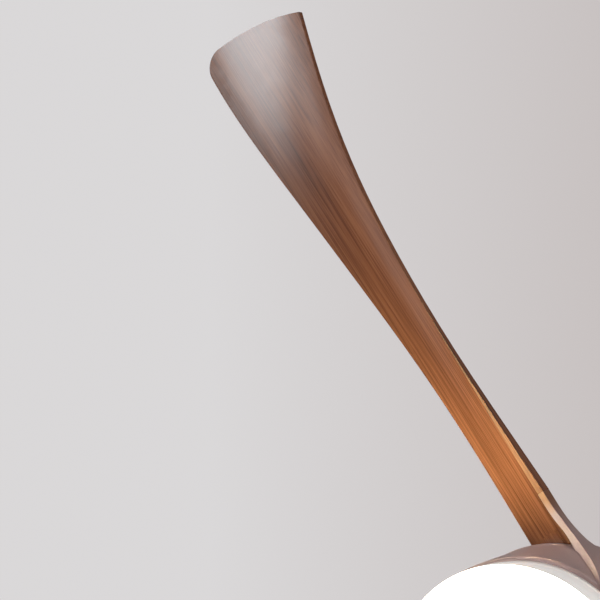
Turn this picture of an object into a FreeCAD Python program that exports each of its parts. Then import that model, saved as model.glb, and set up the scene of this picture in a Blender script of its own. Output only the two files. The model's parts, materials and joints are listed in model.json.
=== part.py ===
import FreeCAD, Part
import math
import os

# Ceiling fan with five swept blades, a swirled hub and a lit glass bowl.
# Sizes are in millimetres. The ceiling is at z = 0 and the fan hangs below it.
# The hub is drawn about its rim (z = 0 there) and is then lowered into place.

V = FreeCAD.Vector
UP = V(0, 0, 1)
AXIS_X = V(1, 0, 0)
AXIS_Y = V(0, 1, 0)
ORIGIN = V(0, 0, 0)

# Fits and general clearances
FIT = 0.03
LOOSE = 0.25
SEAM = 0.8
BUTT_GAP = 0.2
BALL_PLAY = 0.2

# Ceiling bracket
STRAP_T = 2.5
STRAP_HALF_W = 14.0
LEG_HALF_W = 22.0
LEG_INNER_Y = 33.0
TAB_DROP = 20.0
TAB_HALF_W = 9.0
SLOT_SPACING = 89.0
SLOT_R = 2.7
SLOT_L = 12.0
WIRE_HOLE_R = 9.0
SEAT_T = 3.0
KEY_HALF_W = 3.0
KEY_DEPTH = 3.5

# Canopy
CANOPY_R = 74.0
CANOPY_WALL = 1.2
CANOPY_STRAIGHT = 22.0
CANOPY_DEPTH = 80.0
CANOPY_FLOOR_R = 44.0
CANOPY_HOLE_R = 34.0
CANOPY_SCREW_DROP = 11.0
CANOPY_SCREW_R = 2.0
CANOPY_SCREW_L = 8.0
CANOPY_HEAD_R = 3.8
CANOPY_HEAD_H = 2.2

# Remote receiver
RECEIVER_L = 56.0
RECEIVER_W = 40.0
RECEIVER_H = 13.0
RECEIVER_CORNER = 3.0

# Hanger ball and downrod
BALL_R = 30.0
BALL_DROP = 50.0
BALL_TOP = 20.0
BALL_BOTTOM = 24.0
SEAT_BELOW = 17.0
BALL_SLOT_HALF_W = 4.0
BALL_SLOT_FLOOR = 15.5
ROD_R = 13.35
ROD_BORE_R = 11.0
ROD_LENGTH = 152.4
ROD_ABOVE_BALL = 24.0
PIN_R = 3.0
PIN_HALF_L = 21.0
PIN_ABOVE_BALL = 18.0
BALL_SCREW_R = 2.5
BALL_SCREW_L = 9.0
BALL_SCREW_RISE = 8.0

# Yoke that joins the downrod to the shaft
YOKE_R = 19.0
YOKE_SOCKET = 30.0
YOKE_THREAD = 17.0
YOKE_EDGE = 2.0
CLEVIS_R = 3.5
CLEVIS_RISE = 12.0
CLEVIS_HEAD_R = 5.5
CLEVIS_HEAD_H = 2.5
CLEVIS_OVERHANG = 7.0
COTTER_R = 0.9
COTTER_LOOP = 3.2
COTTER_LEG = 9.0
YOKE_SCREW_R = 3.0
YOKE_SCREW_RISE = 22.0
YOKE_SCREW_L = 9.0

# Yoke cover
COVER_CAP_R = 42.0
COVER_CAP_T = 1.5
COVER_CAP_SHOULDER_R = 24.0
COVER_CAP_LIP = 6.0

# Hub cup and rim
CUP_R = 119.6
CUP_TAPER = 2.0
CUP_WALL = 2.5
LIP_Z = 90.0
RIM_LEDGE = 4.1
RIM_T = 3.5
RIM_ROUND = 3.6
FLANGE_T = 3.0
FLANGE_PLAY = 2.5

# Blades
BLADE_COUNT = 5
SWEEP_R = 741.0
TIP_CHORD = 150.0
ROOT_INSET = 22.3
TIP_OVERRUN = 4.0
TRAIL_Z = 97.0
LEAD_RISE = 21.0
LEAD_T = 3.0
NOSE_REACH = 1.2
TRAIL_WALL = 19.0
LAND_W = 6.6
UNDER_CAMBER_SHARE = 0.05
TOP_CAMBER_SHARE = 0.058
# Along the blade: span, leading edge, trailing edge, edge wall and land.
BLADE_STATION_SHARES = (
    (0.00, 0.178, 0.515, 1.00, 1.00),
    (0.16, 0.195, 0.510, 0.80, 0.72),
    (0.35, 0.187, 0.505, 0.54, 0.14),
    (0.54, 0.133, 0.541, 0.45, 0.12),
    (0.75, 0.058, 0.675, 0.41, 0.12),
    (0.87, 0.026, 0.818, 0.38, 0.12),
    (1.00, 0.045, 1.007, 0.35, 0.12),
)
# Tip outline: shares of the sweep radius and of the tip chord.
TIP_OUTLINE_SHARES = (
    (0.969, 0.022),
    (0.9905, 0.070),
    (1.000, 0.180),
    (0.987, 0.540),
    (0.953, 0.905),
    (0.9495, 0.926),
    (0.943, 0.940),
)
TIP_MARGIN = 40.0

# Blade root: tongue, gasket and screws
TONGUE_L = 56.0
TONGUE_INSET = 2.3
TONGUE_HALF_W = 18.0
TONGUE_T = 7.0
TONGUE_CORNER = 8.0
GASKET_T = 1.5
BLADE_SCREW_R = 2.5
BLADE_SCREW_L = 17.0
BLADE_HEAD_R = 4.6
BLADE_HEAD_H = 3.0
BLADE_SCREW_INSET = 10.0
BLADE_SCREW_STEP = 16.0
BLADE_SCREW_HALF_PITCH = 9.0

# Swirl ridge that carries the trailing edge down to the rim, one rib after another.
# Each row: corner angle, radius and height, inner angle and radius, top radius and height.
# Radii are shares of the cup radius, heights are shares of the trailing edge's height.
RIDGE_RIB_SHARES = (
    (31.0, 1.2625, 0.988, 28.8, 1.2316, 1.2584, 1.155),
    (34.0, 1.1960, 0.949, 31.9, 1.1600, 1.1830, 1.124),
    (41.4, 1.1054, 0.796, 39.8, 1.0577, 1.0830, 1.026),
    (47.6, 1.0660, 0.646, 47.2, 0.0, 1.0400, 0.955),
    (52.6, 1.0616, 0.477, 52.6, 0.0, 1.0185, 0.936),
    (57.1, 1.0595, 0.341, 57.1, 0.0, 1.0035, 0.920),
    (62.5, 1.0500, 0.195, 62.5, 0.0, 0.9945, 0.914),
    (70.0, 1.0200, 0.0, 70.0, 0.0, 0.9880, 0.907),
)
RIDGE_TAIL_SHARES = (
    (84.0, 1.0060, 0.0, 84.0, 0.0, 0.9820, 0.902),
    (100.0, 0.9958, 0.0, 100.0, 0.0, 0.9780, 0.897),
)
JOIN_REACH = 32.4
JOIN_WALL_SHARE = 0.87
RIDGE_EMBED = 1.4
ROOT_RIBS = 5

# Blade carrier
CARRIER_GAP = 0.8
CARRIER_T = 5.0
CARRIER_HOLE_R = 24.0
CARRIER_VENT_R = 11.0
CARRIER_VENT_AT = 58.0
PAD_LEAD = 2.0
CUP_SCREW_INSET = 6.3
POST_R = 5.0
POST_AT = 48.0
SCREW_R = 2.0
SCREW_HEAD_R = 3.8
SCREW_HEAD_H = 2.4
CUP_SCREW_L = 7.5
POST_SCREW_L = 12.0
RECESS_W = 1.0
RECESS_L = 4.2
RECESS_DEPTH = 1.2

# Hub top cover
TOP_GAP = 2.2
TOP_T = 2.0
TOP_SKIRT_Z = 91.5
TOP_SHOULDER_Z = 116.0
TOP_Z = 148.0
TOP_FLAT_R = 56.0
TOP_HOLE_R = 30.0
NOTCH_CLEAR = 2.5
NOTCH_TRAIL = 10.0

# Motor
SHAFT_R = 7.5
SHAFT_BORE_R = 5.0
SHAFT_FOOT_Z = 11.0
MOTOR_MARGIN = 16.6
MOTOR_FLANGE_W = 6.5
MOTOR_WALL = 3.0
MOTOR_FOOT_Z = 44.0
MOTOR_SPLIT_Z = 64.0
MOTOR_FLANGE_T = 2.5
MOTOR_SCREW_INSET = 3.3
MOTOR_SCREW_R = 1.5
MOTOR_HEAD_R = 2.8
MOTOR_HEAD_H = 1.8
MOTOR_SCREW_COUNT = 5
CARRIER_SCREW_INSET = 12.0
CARRIER_SCREW_L = 7.0
BEARING_R = 16.0
BEARING_W = 9.0
BEARING_RACE = 2.2
BEARING_BALLS = 8
BEARING_BALL_R = 1.85
CAGE_HALF_T = 0.8
CAGE_HALF_W = 2.4
HOUSING_R = 21.0
HOUSING_LIP = 2.5
HOUSING_HOLE_R = 12.5
AIR_GAP = 3.5
STATOR_HUB_R = 31.0
STATOR_FOOT_Z = 58.0
STATOR_STACK = 12.0
STATOR_SHOE = 5.0
TOOTH_COUNT = 12
TOOTH_HALF_W = 4.0
SLOT_MOUTH_HALF_W = 1.5
COIL_T = 3.6
COIL_IN_R = 37.0
COIL_INSET = 7.5
MAGNET_COUNT = 14
MAGNET_T = 6.0
MAGNET_H = 20.0
MAGNET_FILL_SHARE = 0.86

# Light kit
PAN_T = 2.5
PAN_Z = 21.0
PAN_SKIRT = 15.0
PAN_WALL = 1.5
LUG_COUNT = 3
LUG_OUT = 5.0
LUG_PLAY = 1.2
LUG_T = 2.0
LUG_DEG = 16.0
STOP_DEG = 4.0
STOP_H = 4.0
RING_T = 1.4
RING_H = 13.0
RING_TAB_T = 2.0
RING_TAB_DEG = 12.0
TAB_GAP = 0.8
LED_MARGIN = 15.0
LED_HOLE_R = 18.0
LED_T = 1.6
LED_CHIP = 3.5
LED_CHIP_H = 0.9
LED_INNER_AT = 44.0
LED_OUTER_INSET = 14.0
LED_INNER_COUNT = 8
LED_OUTER_COUNT = 14
LED_SCREW_AT = 60.0
LED_SCREW_COUNT = 3
LED_SCREW_L = 4.0
LED_SCREW_R = 1.5
NUT_R = 13.0
NUT_T = 6.0
DRIVER_L = 74.0
DRIVER_W = 36.0
DRIVER_H = 15.0
DRIVER_AT_Y = 46.0
DRIVER_CORNER = 4.0
DRIVER_EAR = 9.0
DRIVER_EAR_T = 2.0
DRIVER_SCREW_L = 4.4

# Glass bowl
NECK_GAP = 1.5
NECK_WALL = 3.4
GLASS_T = 3.0
GLASS_BELLY_R = 120.0
GLASS_BELLY_DROP = 46.0
GLASS_DEPTH = 101.0
GLASS_TOP_Z = 14.0
GLASS_EDGE = 1.2

# Places worked out from the sizes above
LIP_R = CUP_R - CUP_TAPER
RIM_INNER_R = CUP_R - RIM_LEDGE
GLASS_NECK_R = RIM_INNER_R - NECK_GAP
RING_R = GLASS_NECK_R - NECK_WALL
PAN_R = RING_R - RING_T - LUG_OUT - LUG_PLAY
TOP_R = LIP_R - TOP_GAP
CARRIER_R = LIP_R - CUP_WALL - CARRIER_GAP
CUP_SCREW_AT = CARRIER_R - CUP_SCREW_INSET
TONGUE_X1 = CARRIER_R - TONGUE_INSET
TONGUE_X0 = TONGUE_X1 - TONGUE_L
BLADE_SCREW_X0 = TONGUE_X0 + BLADE_SCREW_INSET
BLADE_SCREW_X1 = BLADE_SCREW_X0 + BLADE_SCREW_STEP
PAD_X0 = TONGUE_X0 - PAD_LEAD
BLADE_ROOT_X = CARRIER_R - ROOT_INSET
JOIN_X = LIP_R + JOIN_REACH
MOTOR_FLANGE_R = LIP_R - CUP_WALL - MOTOR_MARGIN
MOTOR_R = MOTOR_FLANGE_R - MOTOR_FLANGE_W
MOTOR_SCREW_AT = MOTOR_FLANGE_R - MOTOR_SCREW_INSET
CARRIER_SCREW_AT = MOTOR_R - CARRIER_SCREW_INSET
FLANGE_INNER_R = MOTOR_FLANGE_R + FLANGE_PLAY
STATOR_R = MOTOR_R - MOTOR_WALL - MAGNET_T - AIR_GAP
COIL_OUT_R = STATOR_R - COIL_INSET
LED_R = PAN_R - LED_MARGIN
LED_OUTER_AT = LED_R - LED_OUTER_INSET
BLADE_END_X = SWEEP_R + TIP_OVERRUN
BALL_Z = -BALL_DROP
ROD_TOP_Z = BALL_Z + ROD_ABOVE_BALL
ROD_FOOT_Z = ROD_TOP_Z - ROD_LENGTH
CARRIER_Z = LIP_Z - CARRIER_T - STRAP_T
CARRIER_TOP_Z = CARRIER_Z + CARRIER_T
YOKE_FOOT_Z = TOP_Z + SEAM - YOKE_EDGE
YOKE_FLOOR_Z = YOKE_FOOT_Z + YOKE_THREAD
YOKE_TOP_Z = YOKE_FLOOR_Z + YOKE_SOCKET
HUB_Z = ROD_FOOT_Z - YOKE_FLOOR_Z
BLADE_STEP_DEG = 360.0 / BLADE_COUNT
LEAD_Z = TRAIL_Z + LEAD_RISE
TRAIL_Y = TIP_CHORD * BLADE_STATION_SHARES[0][2]
LAND_INNER_Y = TRAIL_Y - LAND_W
ROOT_LEAD_Y = TIP_CHORD * BLADE_STATION_SHARES[0][1]
PITCH_TAN = LEAD_RISE / (LAND_INNER_Y - ROOT_LEAD_Y)
PITCH = math.atan(PITCH_TAN)
TONGUE_Y = (LAND_INNER_Y + ROOT_LEAD_Y) / 2.0
TONGUE_Z = TRAIL_Z + LEAD_RISE / 2.0
BEARING_LOW_Z = MOTOR_FOOT_Z + HOUSING_LIP
BEARING_HIGH_Z = CARRIER_Z - HOUSING_LIP - BEARING_W


def polar(radius, deg, z=0.0):
    """Point at a radius and an angle."""
    return V(radius * math.cos(math.radians(deg)), radius * math.sin(math.radians(deg)), z)


def cylinder(radius, height, base, direction=UP):
    return Part.makeCylinder(radius, height, base, direction)


def tube(outer, inner, height, z):
    """Plain ring about the vertical axis."""
    return cylinder(outer, height, V(0, 0, z)).cut(cylinder(inner, height, V(0, 0, z)))


def block(x0, x1, y0, y1, z0, z1):
    return Part.makeBox(x1 - x0, y1 - y0, z1 - z0, V(x0, y0, z0))


def line(a, b):
    return Part.LineSegment(a, b).toShape()


def arc(a, middle, b):
    return Part.Arc(a, middle, b).toShape()


def spline(points):
    curve = Part.BSplineCurve()
    curve.interpolate(points)
    return curve.toShape()


def spun(edges):
    """Solid of revolution from the edges of a closed half profile in XZ."""
    return Part.Face(Part.Wire(edges)).revolve(ORIGIN, UP, 360)


def spun_polygon(points):
    """Solid of revolution from corner points given as radius and height."""
    corners = [V(r, 0, z) for r, z in points]
    return Part.Face(Part.makePolygon(corners + corners[:1])).revolve(ORIGIN, UP, 360)


def ellipse_arc(centre_z, centre_r, half_r, half_z, start_deg, end_deg):
    """Part of an upright ellipse in the XZ half plane, as a smooth curve."""
    points = []
    for share in (0.0, 0.25, 0.5, 0.75, 1.0):
        turn = math.radians(start_deg + (end_deg - start_deg) * share)
        points.append(V(centre_r + half_r * math.cos(turn), 0, centre_z + half_z * math.sin(turn)))
    first = math.radians(start_deg)
    last = math.radians(end_deg)
    sense = math.copysign(1.0, end_deg - start_deg)
    curve = Part.BSplineCurve()
    curve.interpolate(
        Points=points,
        InitialTangent=V(-half_r * math.sin(first), 0, half_z * math.cos(first)) * sense,
        FinalTangent=V(-half_r * math.sin(last), 0, half_z * math.cos(last)) * sense,
    )
    return curve.toShape()


def turned(shape, deg):
    """Copy of a shape turned about the vertical axis."""
    copy = shape.copy()
    copy.rotate(ORIGIN, UP, deg)
    return copy


def around(shape, count, start=0.0):
    """Evenly spaced copies of a shape about the vertical axis."""
    return [turned(shape, start + 360.0 * step / count) for step in range(count)]


def group(solids):
    return Part.makeCompound(solids)


def screw(shank_r, length, head_r, head_h):
    """Screw under its head at the origin, pointing down, with a cross recess."""
    body = cylinder(head_r, head_h, ORIGIN).fuse(cylinder(shank_r, length, V(0, 0, -length)))
    half_l = min(RECESS_L, head_r) / 2.0
    half_w = RECESS_W / 2.0
    floor = head_h - RECESS_DEPTH
    slot = block(-half_l, half_l, -half_w, half_w, floor, head_h)
    return body.cut(slot.fuse(turned(slot, 90))).removeSplitter()


def placed(shape, base, direction=UP):
    """Copy of a shape with its Z axis along a direction and its origin at a base."""
    copy = shape.copy()
    copy.Placement = FreeCAD.Placement(base, FreeCAD.Rotation(UP, direction))
    return copy


def export(name, shape, lowered=0.0):
    copy = shape.copy()
    copy.translate(V(0, 0, lowered))
    copy.exportStep("parts/" + name + ".step")


def hanger_bracket():
    """Strap with slots, two legs and an open seat for the ball."""
    reach = CANOPY_R - CANOPY_WALL
    leg_y = LEG_INNER_Y + STRAP_T
    seat_z = BALL_Z - SEAT_BELOW
    seat_foot = seat_z - SEAT_T / 2.0
    plate = block(-reach, reach, -STRAP_HALF_W, STRAP_HALF_W, -STRAP_T, 0)
    plate = plate.fuse(block(-LEG_HALF_W, LEG_HALF_W, -leg_y, leg_y, -STRAP_T, 0))
    for side in (-1, 1):
        inner = min(side * LEG_INNER_Y, side * leg_y)
        plate = plate.fuse(block(-LEG_HALF_W, LEG_HALF_W, inner, inner + STRAP_T, seat_foot, 0))
        edge = min(side * reach, side * (reach - STRAP_T * 2.0))
        plate = plate.fuse(block(edge, edge + STRAP_T * 2.0, -TAB_HALF_W, TAB_HALF_W, -TAB_DROP, 0))
        along = side * SLOT_SPACING / 2.0
        half = SLOT_L / 2.0 - SLOT_R
        hole = block(along - half, along + half, -SLOT_R, SLOT_R, -STRAP_T, 0)
        for end in (-half, half):
            hole = hole.fuse(cylinder(SLOT_R, STRAP_T, V(along + end, 0, -STRAP_T)))
        plate = plate.cut(hole)
    seat = block(-LEG_HALF_W, LEG_HALF_W, -leg_y, leg_y, seat_foot, seat_foot + SEAT_T)
    seat = seat.fuse(cylinder(BALL_R, SEAT_T, V(0, 0, seat_foot)))
    seat = seat.common(block(-BALL_R, BALL_R, -leg_y, leg_y, seat_foot, seat_foot + SEAT_T))
    socket = Part.makeSphere(BALL_R + BALL_PLAY, V(0, 0, BALL_Z))
    ring_r = math.sqrt(BALL_R ** 2 - SEAT_BELOW ** 2)
    seat_top = seat_foot + SEAT_T
    key = block(ring_r - KEY_DEPTH, BALL_R - STRAP_T, -KEY_HALF_W, KEY_HALF_W, seat_foot, seat_top)
    mouth = ROD_R + BALL_PLAY * 4.0
    entry = block(-BALL_R, 0, -mouth, mouth, seat_foot, seat_foot + SEAT_T)
    seat = seat.cut(socket).cut(entry).fuse(key)
    body = plate.fuse(seat)
    body = body.cut(cylinder(WIRE_HOLE_R, STRAP_T, V(0, 0, -STRAP_T)))
    body = body.common(cylinder(reach, CANOPY_DEPTH, V(0, 0, -CANOPY_DEPTH)))
    for side in (-1, 1):
        base = V(side * reach, 0, -CANOPY_SCREW_DROP)
        bore = cylinder(CANOPY_SCREW_R + FIT, CANOPY_SCREW_L, base, AXIS_X * -side)
        body = body.cut(bore)
    return body.removeSplitter()


def canopy():
    """Spun cover against the ceiling, open below for the downrod."""
    inner = CANOPY_R - CANOPY_WALL
    bend_z = -CANOPY_STRAIGHT
    half_r = CANOPY_R - CANOPY_FLOOR_R
    half_z = CANOPY_DEPTH - CANOPY_STRAIGHT
    outside = ellipse_arc(bend_z, CANOPY_FLOOR_R, half_r, half_z, 0, -90)
    inside = ellipse_arc(bend_z, CANOPY_FLOOR_R, half_r - CANOPY_WALL, half_z - CANOPY_WALL, -90, 0)
    floor = -CANOPY_DEPTH + CANOPY_WALL
    shell = spun([
        line(V(inner, 0, 0), V(CANOPY_R, 0, 0)),
        line(V(CANOPY_R, 0, 0), V(CANOPY_R, 0, bend_z)),
        outside,
        line(V(CANOPY_FLOOR_R, 0, -CANOPY_DEPTH), V(CANOPY_HOLE_R, 0, -CANOPY_DEPTH)),
        line(V(CANOPY_HOLE_R, 0, -CANOPY_DEPTH), V(CANOPY_HOLE_R, 0, floor)),
        line(V(CANOPY_HOLE_R, 0, floor), V(CANOPY_FLOOR_R, 0, floor)),
        inside,
        line(V(inner, 0, bend_z), V(inner, 0, 0)),
    ])
    hole = cylinder(CANOPY_SCREW_R + FIT, CANOPY_R * 2.0, V(-CANOPY_R, 0, -CANOPY_SCREW_DROP), AXIS_X)
    return shell.cut(hole)


def canopy_screws():
    one = screw(CANOPY_SCREW_R, CANOPY_SCREW_L, CANOPY_HEAD_R, CANOPY_HEAD_H)
    # The head seats on the round wall, so its underside is cut to that curve.
    core_r = CANOPY_R - CANOPY_WALL - CANOPY_SCREW_L
    wall = tube(CANOPY_R, core_r, CANOPY_DEPTH, -CANOPY_DEPTH)
    solids = []
    for side in (-1, 1):
        base = V(side * CANOPY_R, 0, -CANOPY_SCREW_DROP)
        axis = AXIS_X * side
        head = cylinder(CANOPY_HEAD_R, CANOPY_HEAD_R, V(0, 0, -CANOPY_HEAD_R))
        head = placed(head, base, axis).cut(wall)
        shank = cylinder(CANOPY_SCREW_R, CANOPY_SCREW_L, V(0, 0, -CANOPY_SCREW_L))
        shank = placed(shank, base, axis)
        solids.append(placed(one, base, axis).fuse(head).fuse(shank).removeSplitter())
    return group(solids)


def rounded_block(length, width, height, corner, base):
    """Block with rounded upright edges, centred on a base point."""
    body = Part.makeBox(length, width, height, base - V(length / 2.0, width / 2.0, 0))
    upright = [e for e in body.Edges if abs(e.tangentAt(e.FirstParameter).z) > 0.9]
    return body.makeFillet(corner, upright)


def remote_receiver():
    base = V(0, 0, -STRAP_T - RECEIVER_H)
    return rounded_block(RECEIVER_L, RECEIVER_W, RECEIVER_H, RECEIVER_CORNER, base)


def hanger_ball():
    """Ball with a bore, a key slot down its side and a groove for the cross pin."""
    centre = V(0, 0, BALL_Z)
    ball = Part.makeSphere(BALL_R, centre)
    foot = BALL_Z - BALL_BOTTOM
    top = BALL_Z + BALL_TOP
    ball = ball.common(cylinder(BALL_R, top - foot, V(0, 0, foot)))
    ball = ball.cut(cylinder(ROD_R + FIT, top - foot, V(0, 0, foot)))
    ball = ball.cut(block(BALL_SLOT_FLOOR, BALL_R, -BALL_SLOT_HALF_W, BALL_SLOT_HALF_W, foot, top))
    pin_z = BALL_Z + PIN_ABOVE_BALL
    groove = cylinder(PIN_R + FIT, BALL_R * 2.0, V(0, -BALL_R, pin_z), AXIS_Y)
    groove = groove.fuse(block(-PIN_R - FIT, PIN_R + FIT, -BALL_R, BALL_R, pin_z, top))
    ball = ball.cut(groove)
    screw_base = V(-ROD_R, 0, BALL_Z + BALL_SCREW_RISE)
    return ball.cut(cylinder(BALL_SCREW_R + FIT, BALL_R, screw_base, AXIS_X * -1))


def ball_cross_pin():
    return cylinder(PIN_R, PIN_HALF_L * 2.0, V(0, -PIN_HALF_L, BALL_Z + PIN_ABOVE_BALL), AXIS_Y)


def grub_screw(radius, length):
    """Headless screw with a slot in its outer end, its point at the origin."""
    body = cylinder(radius, length, ORIGIN)
    half_w = RECESS_W / 2.0
    return body.cut(block(-radius, radius, -half_w, half_w, length - RECESS_DEPTH, length))


def ball_set_screw():
    one = grub_screw(BALL_SCREW_R, BALL_SCREW_L)
    return placed(one, V(-ROD_R, 0, BALL_Z + BALL_SCREW_RISE), AXIS_X * -1)


def downrod():
    rod = tube(ROD_R, ROD_BORE_R, ROD_LENGTH, ROD_FOOT_Z)
    pin_z = BALL_Z + PIN_ABOVE_BALL
    rod = rod.cut(cylinder(PIN_R + FIT, ROD_R * 2.0, V(0, -ROD_R, pin_z), AXIS_Y))
    clevis_z = ROD_FOOT_Z + CLEVIS_RISE
    return rod.cut(cylinder(CLEVIS_R + FIT, ROD_R * 2.0, V(0, -ROD_R, clevis_z), AXIS_Y))


def yoke():
    """Turned coupling: the shaft screws in from below, the rod drops in from above."""
    body = spun_polygon([
        (SHAFT_R + FIT, YOKE_FOOT_Z),
        (YOKE_R - YOKE_EDGE, YOKE_FOOT_Z),
        (YOKE_R, YOKE_FOOT_Z + YOKE_EDGE),
        (YOKE_R, YOKE_TOP_Z),
        (ROD_R + FIT, YOKE_TOP_Z),
        (ROD_R + FIT, YOKE_FLOOR_Z),
        (SHAFT_R + FIT, YOKE_FLOOR_Z),
    ])
    clevis = V(0, -YOKE_R, YOKE_FLOOR_Z + CLEVIS_RISE)
    body = body.cut(cylinder(CLEVIS_R + FIT, YOKE_R * 2.0, clevis, AXIS_Y))
    screws = V(-YOKE_R, 0, YOKE_FLOOR_Z + YOKE_SCREW_RISE)
    body = body.cut(cylinder(YOKE_SCREW_R + FIT, YOKE_R * 2.0, screws, AXIS_X))
    for side in (-1, 1):
        flat = V(0, side * YOKE_R, YOKE_FLOOR_Z + CLEVIS_RISE)
        face = cylinder(CLEVIS_HEAD_R + LOOSE, YOKE_EDGE, flat, AXIS_Y * -side)
        body = body.cut(face)
    return body


def yoke_clevis_pin():
    """Pin with a head at one end and a hole for the cotter at the other."""
    seat = YOKE_R - YOKE_EDGE
    z = YOKE_FLOOR_Z + CLEVIS_RISE
    pin = cylinder(CLEVIS_R, seat * 2.0 + CLEVIS_OVERHANG, V(0, -seat, z), AXIS_Y)
    pin = pin.fuse(cylinder(CLEVIS_HEAD_R, CLEVIS_HEAD_H, V(0, -seat, z), AXIS_Y * -1))
    hole = V(0, seat + CLEVIS_OVERHANG / 2.0, z - CLEVIS_R)
    return pin.cut(cylinder(COTTER_R + FIT, CLEVIS_R * 2.0, hole))


def cotter_clip():
    """Bent wire clip: a straight leg through the pin and a loop above it."""
    x_out = COTTER_LOOP * 2.0
    y = YOKE_R - YOKE_EDGE + CLEVIS_OVERHANG / 2.0
    z = YOKE_FLOOR_Z + CLEVIS_RISE
    foot = V(0, y, z - COTTER_LEG / 2.0)
    bend = V(0, y, z + COTTER_LEG / 2.0)
    crown = V(COTTER_LOOP, y, z + COTTER_LEG / 2.0 + COTTER_LOOP)
    over = V(x_out, y, z + COTTER_LEG / 2.0)
    tail = V(x_out, y, z)
    path = Part.Wire([line(foot, bend), arc(bend, crown, over), line(over, tail)])
    ring = Part.Wire([Part.Circle(foot, UP, COTTER_R).toShape()])
    return path.makePipeShell([ring], True, False)


def yoke_set_screws():
    one = grub_screw(YOKE_SCREW_R, YOKE_SCREW_L)
    z = YOKE_FLOOR_Z + YOKE_SCREW_RISE
    return group([placed(one, V(side * ROD_R, 0, z), AXIS_X * side) for side in (-1, 1)])


def yoke_cover():
    """Spun cap that rests on the yoke and hides it."""
    top = YOKE_TOP_Z + COVER_CAP_T
    foot = TOP_Z + SEAM * 4.0
    bend = foot + COVER_CAP_LIP
    hole = ROD_R + LOOSE
    half_r = COVER_CAP_R - COVER_CAP_SHOULDER_R
    inner_r = COVER_CAP_R - COVER_CAP_T
    return spun([
        line(V(inner_r, 0, foot), V(COVER_CAP_R, 0, foot)),
        line(V(COVER_CAP_R, 0, foot), V(COVER_CAP_R, 0, bend)),
        ellipse_arc(bend, COVER_CAP_SHOULDER_R, half_r, top - bend, 0, 90),
        line(V(COVER_CAP_SHOULDER_R, 0, top), V(hole, 0, top)),
        line(V(hole, 0, top), V(hole, 0, YOKE_TOP_Z)),
        line(V(hole, 0, YOKE_TOP_Z), V(COVER_CAP_SHOULDER_R, 0, YOKE_TOP_Z)),
        ellipse_arc(bend, COVER_CAP_SHOULDER_R, half_r - COVER_CAP_T, YOKE_TOP_Z - bend, 90, 0),
        line(V(inner_r, 0, bend), V(inner_r, 0, foot)),
    ])


def motor_shaft():
    return tube(SHAFT_R, SHAFT_BORE_R, YOKE_FLOOR_Z - SHAFT_FOOT_Z, SHAFT_FOOT_Z)


def bearing_ring(outer, inner, z):
    """Bearing race with a groove for the balls."""
    ring = tube(outer, inner, BEARING_W, z)
    pitch = (SHAFT_R + BEARING_R) / 2.0
    groove = Part.makeTorus(pitch, BEARING_BALL_R + FIT * 2.0, V(0, 0, z + BEARING_W / 2.0))
    return ring.cut(groove)


def bearing_inner(z):
    return bearing_ring(SHAFT_R + BEARING_RACE, SHAFT_R + FIT, z)


def bearing_outer(z):
    return bearing_ring(BEARING_R, BEARING_R - BEARING_RACE, z)


def bearing_cage(z):
    """Balls held in one flat cage, as they travel together."""
    pitch = (SHAFT_R + BEARING_R) / 2.0
    middle = z + BEARING_W / 2.0
    cage = tube(pitch + CAGE_HALF_T, pitch - CAGE_HALF_T, CAGE_HALF_W * 2.0, middle - CAGE_HALF_W)
    ball = Part.makeSphere(BEARING_BALL_R, V(pitch, 0, middle))
    for one in around(ball, BEARING_BALLS):
        cage = cage.fuse(one)
    return cage


def motor_shell(foot, top, closed_low):
    """One half of the motor case: end wall, side wall, flange and bearing housing."""
    shell = tube(MOTOR_R, MOTOR_R - MOTOR_WALL, top - foot, foot)
    end_z = foot if closed_low else top - MOTOR_WALL
    shell = shell.fuse(cylinder(MOTOR_R, MOTOR_WALL, V(0, 0, end_z)))
    depth = HOUSING_LIP + BEARING_W
    house_z = foot if closed_low else top - depth
    shell = shell.fuse(cylinder(HOUSING_R, depth, V(0, 0, house_z)))
    seat_z = foot + HOUSING_LIP if closed_low else top - depth
    shell = shell.cut(cylinder(BEARING_R + FIT, BEARING_W, V(0, 0, seat_z)))
    shell = shell.cut(cylinder(HOUSING_HOLE_R, top - foot, V(0, 0, foot)))
    flange_z = top - MOTOR_FLANGE_T if closed_low else foot
    shell = shell.fuse(tube(MOTOR_FLANGE_R, MOTOR_R - MOTOR_WALL, MOTOR_FLANGE_T, flange_z))
    hole = cylinder(MOTOR_SCREW_R + FIT, MOTOR_FLANGE_T, V(MOTOR_SCREW_AT, 0, flange_z))
    for one in around(hole, MOTOR_SCREW_COUNT):
        shell = shell.cut(one)
    return shell


def motor_shell_lower():
    return motor_shell(MOTOR_FOOT_Z, MOTOR_SPLIT_Z, True)


def motor_shell_upper():
    shell = motor_shell(MOTOR_SPLIT_Z, CARRIER_Z, False)
    hole = cylinder(SCREW_R + FIT, MOTOR_WALL, V(CARRIER_SCREW_AT, 0, CARRIER_Z - MOTOR_WALL))
    for one in around(hole, BLADE_COUNT):
        shell = shell.cut(one)
    return shell


def motor_screws():
    one = screw(MOTOR_SCREW_R, MOTOR_FLANGE_T * 2.0, MOTOR_HEAD_R, MOTOR_HEAD_H)
    one = placed(one, V(MOTOR_SCREW_AT, 0, MOTOR_SPLIT_Z + MOTOR_FLANGE_T))
    return group(around(one, MOTOR_SCREW_COUNT))


def rotor_magnets():
    """Arc magnets bonded to the inside of the motor case."""
    outer = MOTOR_R - MOTOR_WALL
    sweep = 360.0 / MAGNET_COUNT * MAGNET_FILL_SHARE
    base = STATOR_FOOT_Z + (STATOR_STACK - MAGNET_H) / 2.0
    disc = Part.makeCylinder(outer, MAGNET_H, V(0, 0, base), UP, sweep)
    core = Part.makeCylinder(outer - MAGNET_T, MAGNET_H, V(0, 0, base), UP, sweep)
    return group(around(disc.cut(core), MAGNET_COUNT))


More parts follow.
